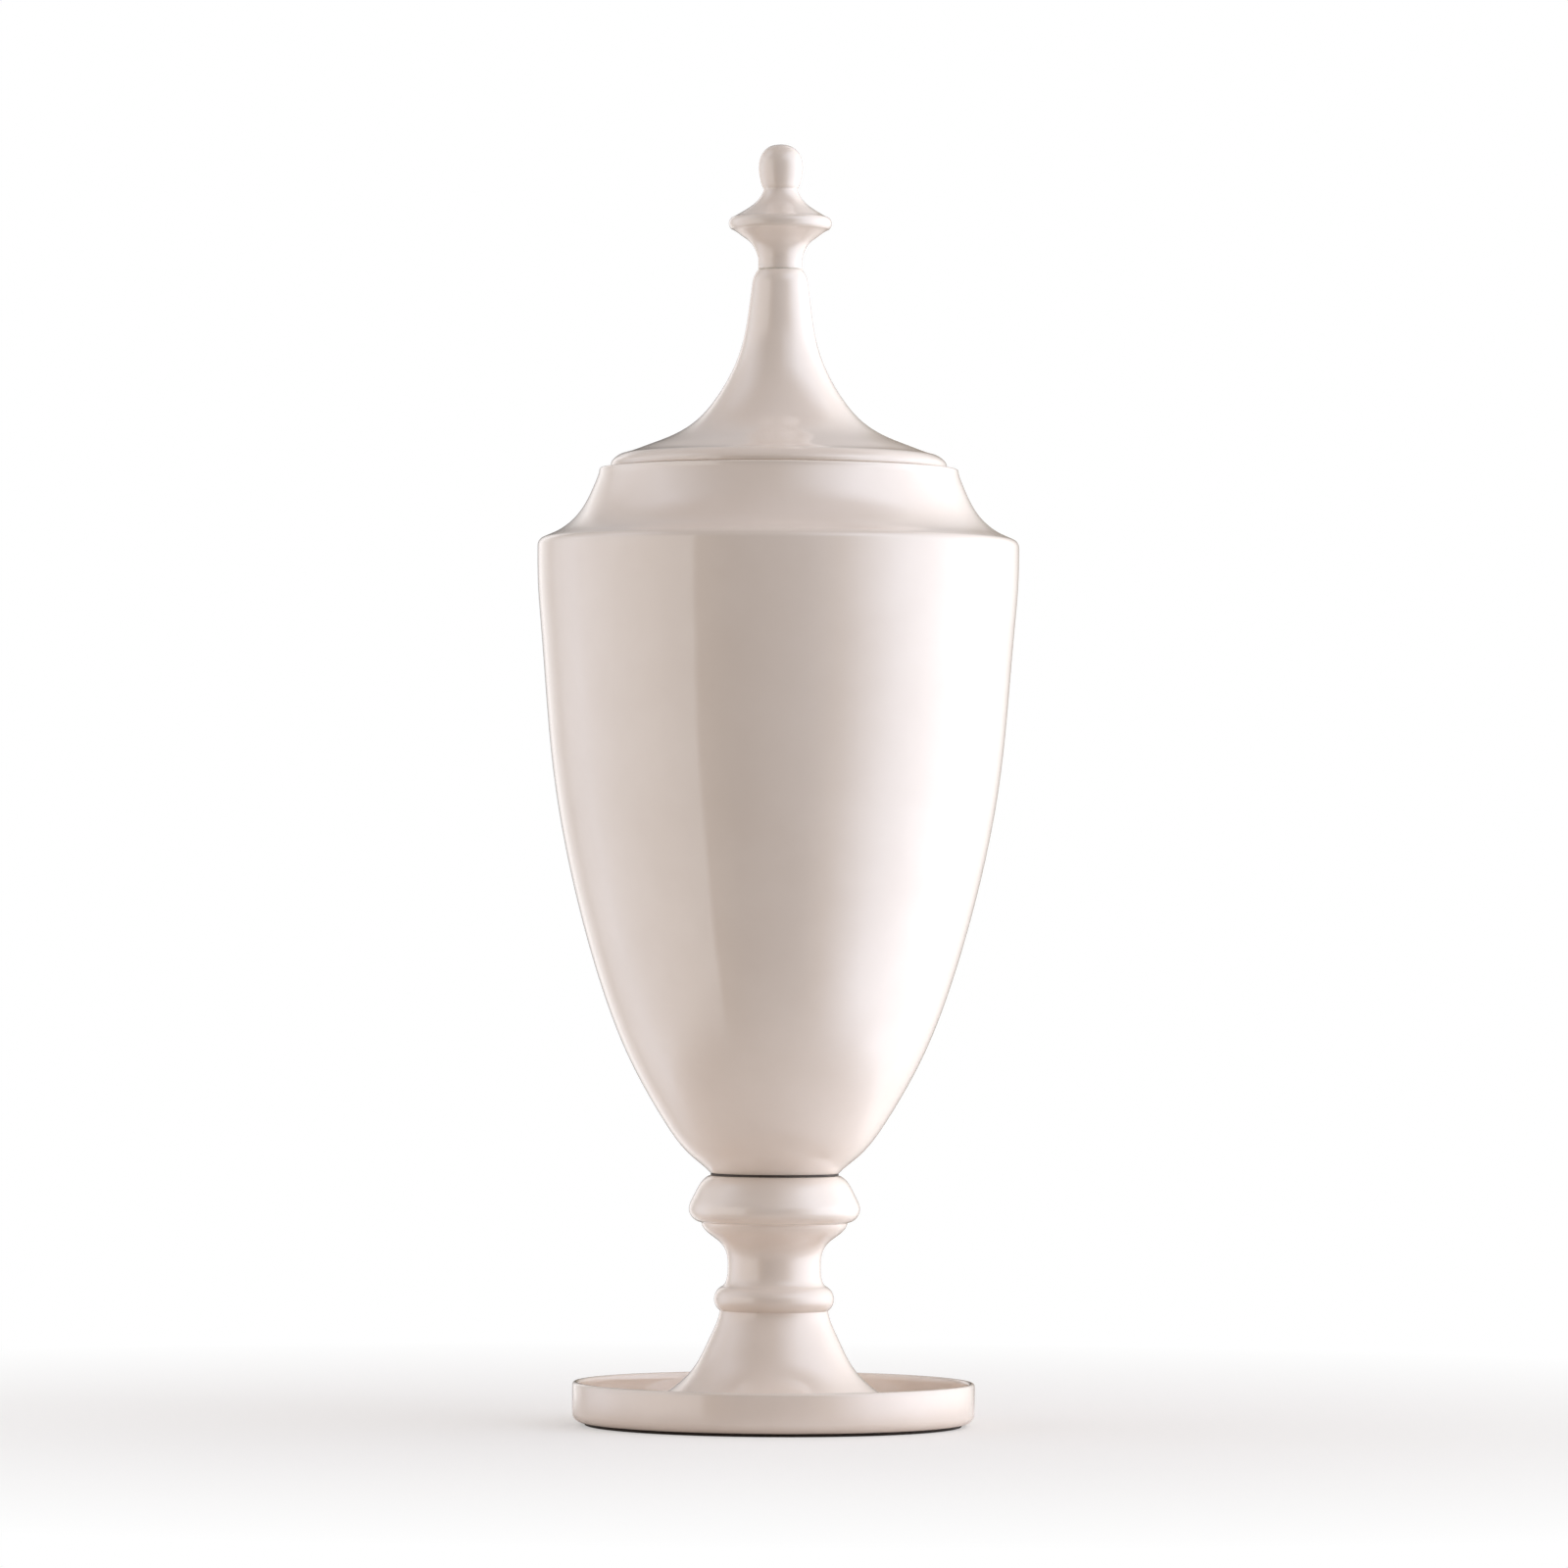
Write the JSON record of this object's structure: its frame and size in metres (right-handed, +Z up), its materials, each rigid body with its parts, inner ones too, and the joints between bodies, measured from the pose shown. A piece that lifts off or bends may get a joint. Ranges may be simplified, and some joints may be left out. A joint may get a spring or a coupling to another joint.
{
  "type": "lidded pedestal urn",
  "caption": "Tall tapered white glazed urn on a turned pedestal in a shallow dish, with a lift-off domed lid that rises to a spire and a knob finial.",
  "frame": {"origin": "centre of the base on the supporting surface", "axes": "+Z up along the urn's turning axis; round about it, so +Y is only the direction away from the viewer"},
  "size_m": [0.3234, 0.3233, 0.86],
  "materials": {
    "white_glaze": "high-gloss warm white glaze",
    "dark_rubber": "matt dark rubber",
    "silicone": "translucent white silicone",
    "felt": "dark wool felt",
    "fibre": "pale fibre washer",
    "zinc_steel": "bright zinc plate"
  },
  "bodies": {
    "urn": {"base_dish": "white_glaze", "base_pad": "felt", "stem_foot_gasket": "dark_rubber", "stem": "white_glaze", "stem_top_gasket": "dark_rubber", "vase_body": "white_glaze", "tie_rod": "zinc_steel", "upper_rubber_washer": "dark_rubber", "upper_steel_washer": "zinc_steel", "upper_nut": "zinc_steel", "lower_rubber_washer": "dark_rubber", "lower_steel_washer": "zinc_steel", "lower_nut": "zinc_steel"},
    "seat_ring": {"lid_seat_ring": "silicone"},
    "lid_top": {"lid": "white_glaze", "finial": "white_glaze", "finial_stud": "zinc_steel", "finial_washer": "fibre", "lid_rubber_washer": "dark_rubber", "lid_steel_washer": "zinc_steel", "finial_nut": "zinc_steel"}
  },
  "joints": [
    {"name": "lid_turn", "type": "hinge", "parent": "urn", "child": "seat_ring", "pos_m": [0, 0, 0.6406], "axis": [0, 0, 1], "continuous": true},
    {"name": "lid_lift", "type": "slide", "parent": "seat_ring", "child": "lid_top", "axis": [0, 0, 1], "range_m": [0, 0.25]}
  ]
}
